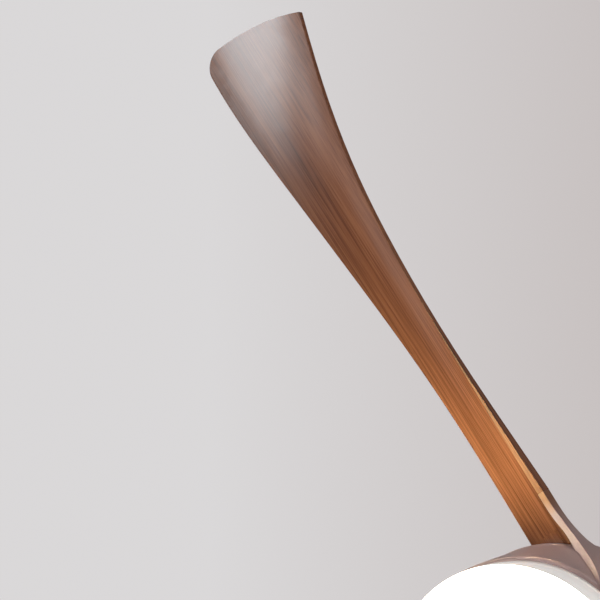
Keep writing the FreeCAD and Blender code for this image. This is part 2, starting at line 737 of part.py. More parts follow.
def stator_core():
    """Laminated core with a tooth for each coil and a narrow slot mouth between teeth."""
    body = tube(STATOR_R, SHAFT_R + FIT, STATOR_STACK, STATOR_FOOT_Z)
    shoe_r = STATOR_R - STATOR_SHOE
    top = STATOR_FOOT_Z + STATOR_STACK
    space = tube(shoe_r, STATOR_HUB_R, STATOR_STACK, STATOR_FOOT_Z)
    tooth = block(0, shoe_r, -TOOTH_HALF_W, TOOTH_HALF_W, STATOR_FOOT_Z, top)
    mouth = block(0, STATOR_R, -SLOT_MOUTH_HALF_W, SLOT_MOUTH_HALF_W, STATOR_FOOT_Z, top)
    mouth = mouth.cut(cylinder(shoe_r, STATOR_STACK, V(0, 0, STATOR_FOOT_Z)))
    for one in around(tooth, TOOTH_COUNT):
        space = space.cut(one)
    body = body.cut(space)
    for one in around(mouth, TOOTH_COUNT, 180.0 / TOOTH_COUNT):
        body = body.cut(one)
    return body


def stator_windings():
    """One closed coil on each tooth."""
    half = TOOTH_HALF_W + COIL_T
    top = STATOR_FOOT_Z + STATOR_STACK
    coil = block(COIL_IN_R, COIL_OUT_R, -half, half, STATOR_FOOT_Z - COIL_T, top + COIL_T)
    long_edges = [e for e in coil.Edges if abs(e.tangentAt(e.FirstParameter).x) > 0.9]
    coil = coil.makeFillet(COIL_T * 0.9, long_edges)
    coil = coil.cut(block(COIL_IN_R, COIL_OUT_R, -TOOTH_HALF_W, TOOTH_HALF_W, STATOR_FOOT_Z, top))
    return group(around(coil, TOOTH_COUNT))


def wall_radius(z):
    """Outer radius of the slightly tapered cup at a height."""
    return CUP_R - (CUP_R - LIP_R) * min(z, LIP_Z) / LIP_Z


def ridge_rib(corner_deg, corner_share, height_share, inner_deg, inner_share, top_share, crest_share):
    """Corners of one upright rib: land's outer and inner edge, then the top's inner and outer edge."""
    z = TRAIL_Z * height_share
    crest = TRAIL_Z * crest_share
    inner_r = CUP_R * inner_share
    return [
        polar(CUP_R * corner_share, corner_deg, z),
        polar(max(inner_r, wall_radius(z) - RIDGE_EMBED), inner_deg, z),
        polar(max(inner_r, wall_radius(crest) - RIDGE_EMBED), inner_deg, crest),
        polar(CUP_R * top_share, corner_deg, crest),
    ]


def join_rib():
    """Rib where the ridge meets the blade, square to the blade."""
    crest = TRAIL_Z + TRAIL_WALL * JOIN_WALL_SHARE
    return [
        V(JOIN_X, TRAIL_Y, TRAIL_Z),
        V(JOIN_X, LAND_INNER_Y, TRAIL_Z),
        V(JOIN_X, LAND_INNER_Y, crest),
        V(JOIN_X, TRAIL_Y, crest),
    ]


def ridge_ribs():
    return [join_rib()] + [ridge_rib(*row) for row in RIDGE_RIB_SHARES]


def ribbed(ribs):
    """Smooth solid through a row of ribs."""
    return Part.makeLoft([Part.makePolygon(rib + rib[:1]) for rib in ribs], True, False)


def swirl_ridge():
    """Ridge for one blade: it leaves the trailing edge, sweeps to the rim and fades into the cup."""
    ribs = ridge_ribs()
    tail = [ridge_rib(*row) for row in RIDGE_TAIL_SHARES]
    ridge = ribbed(ribs).fuse(ribbed(ribs[-1:] + tail))
    half = CUP_WALL / 2.0
    return ridge.cut(Part.makeCone(CUP_R - half, LIP_R - half, LIP_Z))


def cup_shell():
    """Cup wall with a rounded rim below and an inner flange for the carrier."""
    inner = LIP_R - CUP_WALL
    low_inner = CUP_R - CUP_WALL
    half = CUP_WALL / 2.0
    lip_z = LIP_Z - half
    turn = math.radians(45)
    corner = V(CUP_R - RIM_ROUND, 0, RIM_ROUND)
    bulge = corner + V(math.cos(turn), 0, -math.sin(turn)) * RIM_ROUND
    wall = spun([
        line(V(RIM_INNER_R, 0, 0), V(CUP_R - RIM_ROUND, 0, 0)),
        arc(V(CUP_R - RIM_ROUND, 0, 0), bulge, V(CUP_R, 0, RIM_ROUND)),
        line(V(CUP_R, 0, RIM_ROUND), V(LIP_R, 0, lip_z)),
        arc(V(LIP_R, 0, lip_z), V(LIP_R - half, 0, LIP_Z), V(inner, 0, lip_z)),
        line(V(inner, 0, lip_z), V(low_inner, 0, RIM_ROUND + RIM_T)),
        line(V(low_inner, 0, RIM_ROUND + RIM_T), V(RIM_INNER_R, 0, RIM_T)),
        line(V(RIM_INNER_R, 0, RIM_T), V(RIM_INNER_R, 0, 0)),
    ])
    flange = tube(CUP_R - CUP_WALL / 2.0, FLANGE_INNER_R, FLANGE_T, CARRIER_Z - FLANGE_T)
    return wall.fuse(flange)


def hub_cup():
    """Cup, rim and swirl ridges moulded in one piece."""
    cup = cup_shell().fuse(around(swirl_ridge(), BLADE_COUNT))
    hole = cylinder(SCREW_R + FIT, FLANGE_T, V(CUP_SCREW_AT, 0, CARRIER_Z - FLANGE_T))
    for one in around(hole, BLADE_COUNT, BLADE_STEP_DEG * 0.8):
        cup = cup.cut(one)
    return cup


def blade_section(span_share, lead_share, trail_share, wall_share, land_share):
    """Upright slice of the blade: hollow underside, land, edge wall, crown and nose."""
    x = BLADE_ROOT_X + (BLADE_END_X - BLADE_ROOT_X) * span_share
    lead_y = TIP_CHORD * lead_share
    trail_y = TIP_CHORD * trail_share
    chord = trail_y - lead_y
    top_z = TRAIL_Z + TRAIL_WALL * wall_share
    lead = V(x, lead_y, LEAD_Z)
    crown = V(x, lead_y, LEAD_Z + LEAD_T)
    nose = V(x, lead_y - NOSE_REACH, LEAD_Z + LEAD_T / 2.0)
    inner = V(x, trail_y - LAND_W * land_share, TRAIL_Z)
    outer = V(x, trail_y, TRAIL_Z)
    top = V(x, trail_y, top_z)
    hollow = (lead + inner) * 0.5 + V(0, 0, chord * UNDER_CAMBER_SHARE)
    swell = (crown + top) * 0.5 + V(0, 0, chord * TOP_CAMBER_SHARE)
    return Part.Wire([
        arc(lead, hollow, inner),
        line(inner, outer),
        line(outer, top),
        arc(top, swell, crown),
        arc(crown, nose, lead),
    ])


def tip_cutter():
    """Everything beyond the rounded tip, as an upright prism."""
    points = [V(SWEEP_R * a, TIP_CHORD * b, 0) for a, b in TIP_OUTLINE_SHARES]
    far_x = SWEEP_R + TIP_MARGIN
    low = V(points[0].x, -TIP_MARGIN, 0)
    far_low = V(far_x, -TIP_MARGIN, 0)
    far_high = V(far_x, TIP_CHORD + TIP_MARGIN, 0)
    high = V(points[6].x, TIP_CHORD + TIP_MARGIN, 0)
    outline = Part.Wire([
        arc(points[0], points[1], points[2]),
        arc(points[2], points[3], points[4]),
        arc(points[4], points[5], points[6]),
        line(points[6], high),
        line(high, far_high),
        line(far_high, far_low),
        line(far_low, low),
        line(low, points[0]),
    ])
    return Part.Face(outline).extrude(V(0, 0, LEAD_Z * 2.0))


def ridge_clearance():
    """Room beside the blade root for the ridge, with an even seam along its inner side."""
    inside = [V(rib[1].x, rib[1].y - SEAM, 0) for rib in ridge_ribs()[:ROOT_RIBS]]
    seam_x = inside[0].x + BUTT_GAP
    near = V(seam_x, inside[0].y, 0)
    far = V(seam_x, TIP_CHORD, 0)
    back = V(inside[-1].x, TIP_CHORD, 0)
    outline = Part.Wire([
        spline(inside),
        line(inside[-1], back),
        line(back, far),
        line(far, near),
        line(near, inside[0]),
    ])
    return Part.Face(outline).extrude(V(0, 0, LEAD_Z * 2.0))


def pitched(shape):
    """Shape drawn flat about the tongue's middle, pitched and moved into place."""
    copy = shape.copy()
    copy.rotate(ORIGIN, AXIS_X, -math.degrees(PITCH))
    copy.translate(V(0, TONGUE_Y, TONGUE_Z))
    return copy


def tongue_plate(bottom, thickness, x1):
    """Flat plate with a rounded inner end, drawn about the tongue's middle line."""
    plate = block(TONGUE_X0, x1, -TONGUE_HALF_W, TONGUE_HALF_W, bottom, bottom + thickness)
    inner = [e for e in plate.Edges
             if abs(e.tangentAt(e.FirstParameter).z) > 0.9 and e.Vertexes[0].X < TONGUE_X0 + FIT]
    return plate.makeFillet(TONGUE_CORNER, inner)


def tongue_screw_bases(z):
    return [
        V(BLADE_SCREW_X0, -BLADE_SCREW_HALF_PITCH, z),
        V(BLADE_SCREW_X0, BLADE_SCREW_HALF_PITCH, z),
        V(BLADE_SCREW_X1, 0, z),
    ]


def blade():
    """Blade along +X: lofted panel, rounded tip and a flat root tongue."""
    panel = Part.makeLoft([blade_section(*row) for row in BLADE_STATION_SHARES], True, False)
    panel = panel.cut(tip_cutter())
    panel = panel.cut(ridge_clearance())
    tongue = tongue_plate(0, TONGUE_T, TONGUE_X1)
    tongue = pitched(tongue)
    body = panel.fuse(tongue)
    for base in tongue_screw_bases(0):
        body = body.cut(pitched(cylinder(BLADE_SCREW_R + LOOSE, TONGUE_T, base)))
    return body


def blade_gaskets():
    pad = tongue_plate(-GASKET_T, GASKET_T, CARRIER_R)
    for base in tongue_screw_bases(-GASKET_T):
        pad = pad.cut(cylinder(BLADE_SCREW_R + LOOSE, GASKET_T, base))
    pad = pitched(pad).common(cylinder(CARRIER_R, LEAD_Z * 2.0, ORIGIN))
    return group(around(pad, BLADE_COUNT))


def blade_screws():
    one = screw(BLADE_SCREW_R, BLADE_SCREW_L, BLADE_HEAD_R, BLADE_HEAD_H)
    solids = []
    for base in tongue_screw_bases(TONGUE_T):
        solids += around(pitched(placed(one, base)), BLADE_COUNT)
    return group(solids)


def carrier_pad():
    """Wedge that holds one blade root at its pitch."""
    drop = GASKET_T / math.cos(PITCH)
    half = TONGUE_HALF_W * math.cos(PITCH)
    y0 = TONGUE_Y - half
    y1 = TONGUE_Y + half
    z0 = TONGUE_Z + half * PITCH_TAN - drop
    z1 = TONGUE_Z - half * PITCH_TAN - drop
    corners = [V(PAD_X0, y0, CARRIER_Z), V(PAD_X0, y1, CARRIER_Z), V(PAD_X0, y1, z1), V(PAD_X0, y0, z0)]
    wedge = Part.Face(Part.makePolygon(corners + corners[:1])).extrude(V(CARRIER_R, 0, 0))
    return wedge.common(cylinder(CARRIER_R, LEAD_Z * 2.0, ORIGIN))


def blade_carrier():
    """Cast plate on the motor with a wedge for each blade and posts for the top cover."""
    plate = tube(CARRIER_R, CARRIER_HOLE_R, CARRIER_T, CARRIER_Z)
    vent = cylinder(CARRIER_VENT_R, CARRIER_T, V(CARRIER_VENT_AT, 0, CARRIER_Z))
    for one in around(vent, BLADE_COUNT):
        plate = plate.cut(one)
    post = cylinder(POST_R, TOP_Z - TOP_T - CARRIER_Z, V(POST_AT, 0, CARRIER_Z))
    post_hole = cylinder(SCREW_R + FIT, POST_SCREW_L, V(POST_AT, 0, TOP_Z - POST_SCREW_L))
    cup_hole = cylinder(SCREW_R + FIT, CARRIER_T, V(CUP_SCREW_AT, 0, CARRIER_Z))
    motor_hole = cylinder(SCREW_R + FIT, CARRIER_T, V(CARRIER_SCREW_AT, 0, CARRIER_Z))
    pad = carrier_pad()
    bores = []
    for base in tongue_screw_bases(TONGUE_T - BLADE_SCREW_L):
        bores.append(pitched(cylinder(BLADE_SCREW_R + FIT, BLADE_SCREW_L, base)))
    for bore in bores:
        pad = pad.cut(bore)
    plate = plate.fuse(around(pad, BLADE_COUNT))
    for bore in bores:
        for one in around(bore, BLADE_COUNT):
            plate = plate.cut(one)
    plate = plate.fuse(around(post, BLADE_COUNT, BLADE_STEP_DEG * 0.8))
    for one in around(post_hole, BLADE_COUNT, BLADE_STEP_DEG * 0.8):
        plate = plate.cut(one)
    for one in around(cup_hole, BLADE_COUNT, BLADE_STEP_DEG * 0.8):
        plate = plate.cut(one)
    for one in around(motor_hole, BLADE_COUNT):
        plate = plate.cut(one)
    return plate.removeSplitter()


def carrier_screws():
    one = screw(SCREW_R, CARRIER_SCREW_L, SCREW_HEAD_R, SCREW_HEAD_H)
    one = placed(one, V(CARRIER_SCREW_AT, 0, CARRIER_TOP_Z))
    return group(around(one, BLADE_COUNT))


def cup_screws():
    one = screw(SCREW_R, CUP_SCREW_L, SCREW_HEAD_R, SCREW_HEAD_H)
    one = placed(one, V(CUP_SCREW_AT, 0, CARRIER_TOP_Z))
    return group(around(one, BLADE_COUNT, BLADE_STEP_DEG * 0.8))


def hub_top_cover():
    """Domed cover over the blade roots, notched where each blade passes."""
    half_r = TOP_R - TOP_FLAT_R
    half_z = TOP_Z - TOP_SHOULDER_Z
    inner = TOP_R - TOP_T
    under = TOP_Z - TOP_T
    cover = spun([
        line(V(inner, 0, TOP_SKIRT_Z), V(TOP_R, 0, TOP_SKIRT_Z)),
        line(V(TOP_R, 0, TOP_SKIRT_Z), V(TOP_R, 0, TOP_SHOULDER_Z)),
        ellipse_arc(TOP_SHOULDER_Z, TOP_FLAT_R, half_r, half_z, 0, 90),
        line(V(TOP_FLAT_R, 0, TOP_Z), V(TOP_HOLE_R, 0, TOP_Z)),
        line(V(TOP_HOLE_R, 0, TOP_Z), V(TOP_HOLE_R, 0, under)),
        line(V(TOP_HOLE_R, 0, under), V(TOP_FLAT_R, 0, under)),
        ellipse_arc(TOP_SHOULDER_Z, TOP_FLAT_R, half_r - TOP_T, half_z - TOP_T, 90, 0),
        line(V(inner, 0, TOP_SHOULDER_Z), V(inner, 0, TOP_SKIRT_Z)),
    ])
    y0 = ROOT_LEAD_Y - NOSE_REACH - NOTCH_CLEAR
    y1 = LAND_INNER_Y + NOTCH_TRAIL
    rise = LEAD_T + TONGUE_T + NOTCH_CLEAR
    high = LEAD_Z + rise
    low = TRAIL_Z + LEAD_RISE + NOTCH_CLEAR
    corners = [
        V(TOP_FLAT_R, y0, 0),
        V(TOP_FLAT_R, y1, 0),
        V(TOP_FLAT_R, y1, low),
        V(TOP_FLAT_R, y0, high),
    ]
    notch = Part.Face(Part.makePolygon(corners + corners[:1])).extrude(V(TOP_R, 0, 0))
    for one in around(notch, BLADE_COUNT):
        cover = cover.cut(one)
    hole = cylinder(SCREW_R + FIT, TOP_T, V(POST_AT, 0, under))
    for one in around(hole, BLADE_COUNT, BLADE_STEP_DEG * 0.8):
        cover = cover.cut(one)
    return cover


def cover_screws():
    one = screw(SCREW_R, POST_SCREW_L, SCREW_HEAD_R, SCREW_HEAD_H)
    one = placed(one, V(POST_AT, 0, TOP_Z))
    return group(around(one, BLADE_COUNT, BLADE_STEP_DEG * 0.8))


def sector(outer, inner, height, z, start_deg, sweep_deg):
    """Part of a ring between two angles."""
    solid = Part.makeCylinder(outer, height, V(0, 0, z), UP, sweep_deg)
    solid = solid.cut(Part.makeCylinder(inner, height, V(0, 0, z), UP, sweep_deg))
    return turned(solid, start_deg)


def light_pan():
    """Pressed pan on the shaft: heat sink for the lamp board and lugs for the glass."""
    foot = PAN_Z - PAN_SKIRT
    pan = cylinder(PAN_R, PAN_T, V(0, 0, PAN_Z))
    pan = pan.fuse(tube(PAN_R, PAN_R - PAN_WALL, PAN_SKIRT, foot))
    lug = sector(PAN_R + LUG_OUT, PAN_R - PAN_WALL, LUG_T, foot, -STOP_DEG, LUG_DEG + STOP_DEG)
    stop = sector(PAN_R + LUG_OUT, PAN_R - PAN_WALL, LUG_T + STOP_H, foot, -STOP_DEG, STOP_DEG)
    pan = pan.fuse(around(lug.fuse(stop), LUG_COUNT))
    pan = pan.cut(cylinder(SHAFT_R + FIT, PAN_T, V(0, 0, PAN_Z)))
    for x in (-DRIVER_L / 2.0 - DRIVER_EAR / 2.0, DRIVER_L / 2.0 + DRIVER_EAR / 2.0):
        pan = pan.cut(cylinder(LED_SCREW_R + FIT, PAN_T, V(x, DRIVER_AT_Y, PAN_Z)))
    hole = cylinder(LED_SCREW_R + FIT, PAN_T, V(LED_SCREW_AT, 0, PAN_Z))
    for one in around(hole, LED_SCREW_COUNT, 270.0):
        pan = pan.cut(one)
    return pan.removeSplitter()


def shaft_nuts():
    """Hex nuts above and below the pan."""
    corners = [polar(NUT_R, 60.0 * step) for step in range(6)]
    face = Part.Face(Part.makePolygon(corners + corners[:1]))
    nut = face.extrude(V(0, 0, NUT_T)).cut(cylinder(SHAFT_R + FIT, NUT_T, ORIGIN))
    return group([placed(nut, V(0, 0, PAN_Z - NUT_T)), placed(nut, V(0, 0, PAN_Z + PAN_T))])


def led_board():
    board = tube(LED_R, LED_HOLE_R, LED_T, PAN_Z - LED_T)
    hole = cylinder(LED_SCREW_R + FIT, LED_T, V(LED_SCREW_AT, 0, PAN_Z - LED_T))
    for one in around(hole, LED_SCREW_COUNT, 270.0):
        board = board.cut(one)
    return board


def led_chips():
    half = LED_CHIP / 2.0
    face = PAN_Z - LED_T
    inner = block(LED_INNER_AT - half, LED_INNER_AT + half, -half, half, face - LED_CHIP_H, face)
    outer = block(LED_OUTER_AT - half, LED_OUTER_AT + half, -half, half, face - LED_CHIP_H, face)
    return group(around(inner, LED_INNER_COUNT) + around(outer, LED_OUTER_COUNT))


def led_screws():
    one = screw(LED_SCREW_R, LED_SCREW_L, MOTOR_HEAD_R, MOTOR_HEAD_H)
    one = placed(one, V(LED_SCREW_AT, 0, PAN_Z - LED_T), UP * -1)
    return group(around(one, LED_SCREW_COUNT, 270.0))


def led_driver():
    """Closed driver box with two fixing ears."""
    base = V(0, DRIVER_AT_Y, PAN_Z + PAN_T)
    body = rounded_block(DRIVER_L, DRIVER_W, DRIVER_H, DRIVER_CORNER, base)
    ear_l = DRIVER_L + DRIVER_EAR * 2.0
    ears = rounded_block(ear_l, DRIVER_EAR * 2.0, DRIVER_EAR_T, DRIVER_CORNER, base)
    body = body.fuse(ears)
    for x in (-DRIVER_L / 2.0 - DRIVER_EAR / 2.0, DRIVER_L / 2.0 + DRIVER_EAR / 2.0):
        body = body.cut(cylinder(LED_SCREW_R + FIT, DRIVER_EAR_T, V(x, DRIVER_AT_Y, PAN_Z + PAN_T)))
    return body.removeSplitter()


def driver_screws():
    one = screw(LED_SCREW_R, DRIVER_SCREW_L, MOTOR_HEAD_R, MOTOR_HEAD_H)
    x = DRIVER_L / 2.0 + DRIVER_EAR / 2.0
    z = PAN_Z + PAN_T + DRIVER_EAR_T
    return group([placed(one, V(side * x, DRIVER_AT_Y, z)) for side in (-1, 1)])


def glass_ring():
    """Collar bonded inside the glass neck, with tabs that rest on the pan's lugs."""
    rest = PAN_Z - PAN_SKIRT + LUG_T
    top = rest + RING_TAB_T
    ring = tube(RING_R, RING_R - RING_T, RING_H, top - RING_H + RING_TAB_T)
    tab = sector(RING_R, PAN_R + TAB_GAP, RING_TAB_T, rest, 0, RING_TAB_DEG)
    return ring.fuse(around(tab, LUG_COUNT)).removeSplitter()


def glass_bowl():
    """Blown bowl: straight neck, soft shoulder and a deep rounded belly."""
    inner_neck = RING_R + FIT
    inner_belly = GLASS_BELLY_R - GLASS_T
    belly_z = -GLASS_BELLY_DROP
    low = GLASS_DEPTH - GLASS_BELLY_DROP
    shoulder = spline([
        V(GLASS_NECK_R, 0, 0),
        V((GLASS_NECK_R + GLASS_BELLY_R * 3.0) / 4.0, 0, belly_z / 2.0),
        V(GLASS_BELLY_R, 0, belly_z),
    ])
    inner_shoulder = spline([
        V(inner_belly, 0, belly_z),
        V((inner_neck + inner_belly * 3.0) / 4.0, 0, belly_z / 2.0),
        V(inner_neck, 0, 0),
    ])
    rounded = V((inner_neck + GLASS_NECK_R) / 2.0, 0, GLASS_TOP_Z + GLASS_EDGE)
    return spun([
        ellipse_arc(belly_z, 0, GLASS_BELLY_R, low, -90, 0),
        shoulder,
        line(V(GLASS_NECK_R, 0, 0), V(GLASS_NECK_R, 0, GLASS_TOP_Z)),
        arc(V(GLASS_NECK_R, 0, GLASS_TOP_Z), rounded, V(inner_neck, 0, GLASS_TOP_Z)),
        line(V(inner_neck, 0, GLASS_TOP_Z), V(inner_neck, 0, 0)),
        inner_shoulder,
        ellipse_arc(belly_z, 0, inner_belly, low - GLASS_T, 0, -90),
        line(V(0, 0, -GLASS_DEPTH + GLASS_T), V(0, 0, -GLASS_DEPTH)),
    ])


CEILING_PARTS = {
    "hanger_bracket": hanger_bracket,
    "canopy": canopy,
    "canopy_screws": canopy_screws,
    "remote_receiver": remote_receiver,
    "hanger_ball": hanger_ball,
    "ball_cross_pin": ball_cross_pin,
    "ball_set_screw": ball_set_screw,
    "downrod": downrod,
}

HUB_PARTS = {
    "yoke": yoke,
    "yoke_clevis_pin": yoke_clevis_pin,
    "cotter_clip": cotter_clip,
    "yoke_set_screws": yoke_set_screws,
    "yoke_cover": yoke_cover,
    "motor_shaft": motor_shaft,
    "motor_shell_lower": motor_shell_lower,
    "motor_shell_upper": motor_shell_upper,
    "motor_screws": motor_screws,
    "rotor_magnets": rotor_magnets,
    "stator_core": stator_core,
    "stator_windings": stator_windings,
    "hub_cup": hub_cup,
    "blade_carrier": blade_carrier,
    "carrier_screws": carrier_screws,
    "cup_screws": cup_screws,
    "blade_gaskets": blade_gaskets,
    "blade_screws": blade_screws,
    "hub_top_cover": hub_top_cover,
    "cover_screws": cover_screws,
    "light_pan": light_pan,
    "shaft_nuts": shaft_nuts,
    "led_board": led_board,
    "led_chips": led_chips,
    "led_screws": led_screws,
    "led_driver": led_driver,
    "driver_screws": driver_screws,
    "glass_ring": glass_ring,
    "glass_bowl": glass_bowl,
}

BEARING_PARTS = {
    "bearing_inner": bearing_inner,
    "bearing_outer": bearing_outer,
    "bearing_cage": bearing_cage,
}


def main():
    os.makedirs("parts", exist_ok=True)
    for name, make in CEILING_PARTS.items():
        export(name, make())
    for name, make in HUB_PARTS.items():
        export(name, make(), HUB_Z)
    for name, make in BEARING_PARTS.items():
        export(name + "_lower", make(BEARING_LOW_Z), HUB_Z)
        export(name + "_upper", make(BEARING_HIGH_Z), HUB_Z)
    panel = blade()
    for step in range(BLADE_COUNT):
        export("blade_%d" % (step + 1), turned(panel, BLADE_STEP_DEG * step), HUB_Z)


main()
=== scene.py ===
import json
import math

import bpy
from mathutils import Matrix, Quaternion, Vector


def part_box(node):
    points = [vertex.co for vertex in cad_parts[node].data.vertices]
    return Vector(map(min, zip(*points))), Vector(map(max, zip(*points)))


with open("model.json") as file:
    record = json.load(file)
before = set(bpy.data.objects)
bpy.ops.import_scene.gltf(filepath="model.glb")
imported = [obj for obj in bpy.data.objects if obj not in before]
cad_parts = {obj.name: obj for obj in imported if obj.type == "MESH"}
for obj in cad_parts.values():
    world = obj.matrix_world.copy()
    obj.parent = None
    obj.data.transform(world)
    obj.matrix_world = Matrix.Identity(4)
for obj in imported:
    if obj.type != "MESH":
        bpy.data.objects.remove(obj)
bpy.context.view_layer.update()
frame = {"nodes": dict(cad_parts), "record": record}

# Hub rim: camera and lights are placed from its centre, in metres
RIM_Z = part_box("hub_cup")[0].z
RIM_CENTRE = Vector((0.0, 0.0, RIM_Z))

# Camera: under the fan, on the trailing side of the first blade
CAMERA_OFFSET = Vector((0.0014, 0.8170, -1.7631))
CAMERA_RIGHT = Vector((-0.5174, 0.7222, 0.4590))
CAMERA_BACK = Vector((-0.2180, 0.4075, -0.8868))
CAMERA_LENS = 119.13
SENSOR_WIDTH = 36.0

# Blades: the first lies along +X, and the others follow it in even steps
BLADE_COUNT = 5
BLADE_STEP = 2.0 * math.pi / BLADE_COUNT

# Mix node: places of its value sockets and of its colour sockets
VALUE_A, VALUE_B, VALUE_RESULT = 2, 3, 0
COLOUR_A, COLOUR_B, COLOUR_RESULT = 6, 7, 2

# Noise: the stretch of its values that runs from dark to light, and from smooth to rough
NOISE_LOW = 0.3
NOISE_HIGH = 0.7

# Plain materials: the two tones of the grain (linear), its fineness, roughness and metal
ROUGH_VARIES = 0.1
PLAIN_LOOKS = {
    "steel": dict(dark=(0.42, 0.42, 0.43), light=(0.56, 0.56, 0.57),
                  scale=400.0, rough=0.35, metallic=1.0),
    "bronze_paint": dict(dark=(0.200, 0.140, 0.128), light=(0.230, 0.162, 0.148),
                         scale=900.0, rough=0.38, metallic=0.25),
    "aluminium": dict(dark=(0.55, 0.55, 0.56), light=(0.68, 0.68, 0.69),
                      scale=500.0, rough=0.42, metallic=1.0),
    "iron": dict(dark=(0.08, 0.08, 0.085), light=(0.13, 0.13, 0.135),
                 scale=500.0, rough=0.5, metallic=0.8),
    "copper": dict(dark=(0.45, 0.18, 0.08), light=(0.62, 0.28, 0.13),
                   scale=700.0, rough=0.35, metallic=0.9),
    "black_plastic": dict(dark=(0.020, 0.020, 0.022), light=(0.032, 0.032, 0.035),
                          scale=1200.0, rough=0.5),
    "white_board": dict(dark=(0.80, 0.80, 0.78), light=(0.88, 0.88, 0.86),
                        scale=600.0, rough=0.4),
    "rubber": dict(dark=(0.018, 0.018, 0.018), light=(0.030, 0.030, 0.030),
                   scale=900.0, rough=0.7),
}

# Lamp chips: yellow, and they glow a little
CHIP_LOOK = dict(dark=(0.85, 0.70, 0.30), light=(0.95, 0.82, 0.42), scale=900.0, rough=0.4)
CHIP_GLOW_COLOUR = (1.0, 0.93, 0.80)
CHIP_GLOW = 2.0

# Wood: stretch of each noise along, across and through a blade, then the noises and tones made from it
GRAIN_STRETCH = (2.2, 170.0, 60.0)
GRAIN_NOISE = dict(scale=4.0, detail=6.0, roughness=0.6)
BAND_STRETCH = (1.0, 12.0, 4.0)
BAND_NOISE = dict(scale=3.0, detail=2.0, roughness=0.5)
BAND_SHARE = 0.45
PORE_STRETCH = (1.2, 420.0, 140.0)
PORE_NOISE = dict(scale=3.0, detail=3.0, roughness=0.5)
WOOD_TONES = (
    (0.38, (0.092, 0.0280, 0.0105)),
    (0.50, (0.157, 0.0515, 0.0205)),
    (0.62, (0.212, 0.0750, 0.0315)),
)
PORE_TONES = ((0.36, (0.62, 0.55, 0.52)), (0.48, (1.0, 1.0, 1.0)))
WOOD_ROUGH = (0.20, 0.24)
WOOD_SPECULAR = 0.38

# Hub paint: it warms to the wood's tone between these two radii, out on the ridges
PAINT_DARK = (0.330, 0.222, 0.205)
PAINT_LIGHT = (0.380, 0.262, 0.245)
PAINT_SCALE = 900.0
PAINT_ROUGH = (0.32, 0.40)
WARM_FROM_R = 0.130
WARM_FULL_R = 0.160
WARM_PAINT = (0.175, 0.070, 0.033)

# Glass: bright below the lit edge, a soft glow in the neck above it
GLASS_DARK = (0.90, 0.87, 0.82)
GLASS_LIGHT = (0.94, 0.92, 0.88)
GLASS_SCALE = 30.0
GLASS_ROUGH = 0.2
LIT_EDGE_Z = RIM_Z - 0.048
LIT_EDGE_SOFT = 0.003
LAMP_COLOUR = (1.0, 0.84, 0.64)
LAMP_GLOW = 24.0
NECK_COLOUR = (1.0, 0.98, 0.97)
NECK_GLOW = 0.22

# Floor: far below the fan, lifted a little where it is seen directly
FLOOR_Z = -7.5
FLOOR_HALF = 90.0
FLOOR_DARK = (0.77, 0.76, 0.75)
FLOOR_LIGHT = (0.80, 0.79, 0.78)
FLOOR_SCALE = 0.6
FLOOR_ROUGH = 0.8
FLOOR_LIFT = 0.48

# World: a pale wall that shades off to the camera's right, and the soft light of the room
WALL_LIGHT = (0.70, 0.685, 0.69)
WALL_SHADE = (0.58, 0.54, 0.535)
WALL_HALF_ANGLE = 0.15
SHADE_FROM_SHARE = 0.35
MIRRORED_WALL_STRENGTH = 0.25
AMBIENT = (0.80, 0.79, 0.78)
AMBIENT_STRENGTH = 0.22

# Lights: place and aim from the rim's centre, width and height in metres, power in watts, angles in degrees
WHITE = (1.0, 1.0, 1.0)
WINDOW_COLOUR = (0.90, 0.96, 1.0)
SIDE_COLOUR = (1.0, 0.93, 0.90)
FLOOR_LAMP_COLOUR = (1.0, 0.88, 0.46)
FULL_SPREAD = 180.0
SKY_Z = 2.0
HUB_AIM = (0.0, 0.0, 0.0)
ROOM_AIM = (0.2, 0.0, 0.0)
LAND_AIM = (0.25, 0.07, 0.097)
MIDDLE_AIM = (0.45, 0.06, 0.10)
TIP_AIM = (0.70, 0.055, 0.117)
LIGHTS = {
    "window": dict(place=(1.719, -1.138, -1.426), aim=TIP_AIM, size=(0.66, 1.12), power=31.5,
                   colour=WINDOW_COLOUR),
    "side_wall": dict(place=(1.25, -2.10, -0.68), aim=MIDDLE_AIM, size=(1.60, 0.35), power=2.7,
                      colour=SIDE_COLOUR, roll=-35.0),
    "window_side": dict(place=(1.80, -1.78, -1.20), aim=TIP_AIM, size=(0.70, 0.60), power=4.2,
                        colour=WINDOW_COLOUR),
    "floor_lamp": dict(place=(0.50, -0.67, -1.75), aim=LAND_AIM, size=(0.50, 0.50), power=5.6,
                       colour=FLOOR_LAMP_COLOUR),
    "room": dict(place=(0.9, 2.3, -0.5), aim=ROOM_AIM, size=(1.6, 1.6), power=27.0),
    "sky": dict(place=(-1.5, -1.5, SKY_Z - RIM_Z), aim=HUB_AIM, size=(2.0, 2.0), power=70.0),
    "fill_left": dict(place=(-2.5, 0.8, 0.5), aim=HUB_AIM, size=(2.0, 2.0), power=38.0, shine=False),
    "fill_back": dict(place=(-0.6, -2.6, 0.5), aim=HUB_AIM, size=(2.0, 2.0), power=38.0, shine=False),
    "fill_right": dict(place=(2.3, -1.8, 0.6), aim=HUB_AIM, size=(2.0, 2.0), power=32.0, shine=False),
}

# Spill of the lamp on the blades: one small light under the bowl for each blade, on its trailing side
SPILL_R = 0.10
SPILL_TURN = math.radians(38.0)
SPILL_DROP = 0.13
SPILL_SIZE = 0.06
SPILL_POWER = 1.27
SPILL_SPREAD = 128.0
SPILL_COLOUR = (0.95, 1.0, 0.70)


def opaque(colour):
    return (*colour, 1.0)


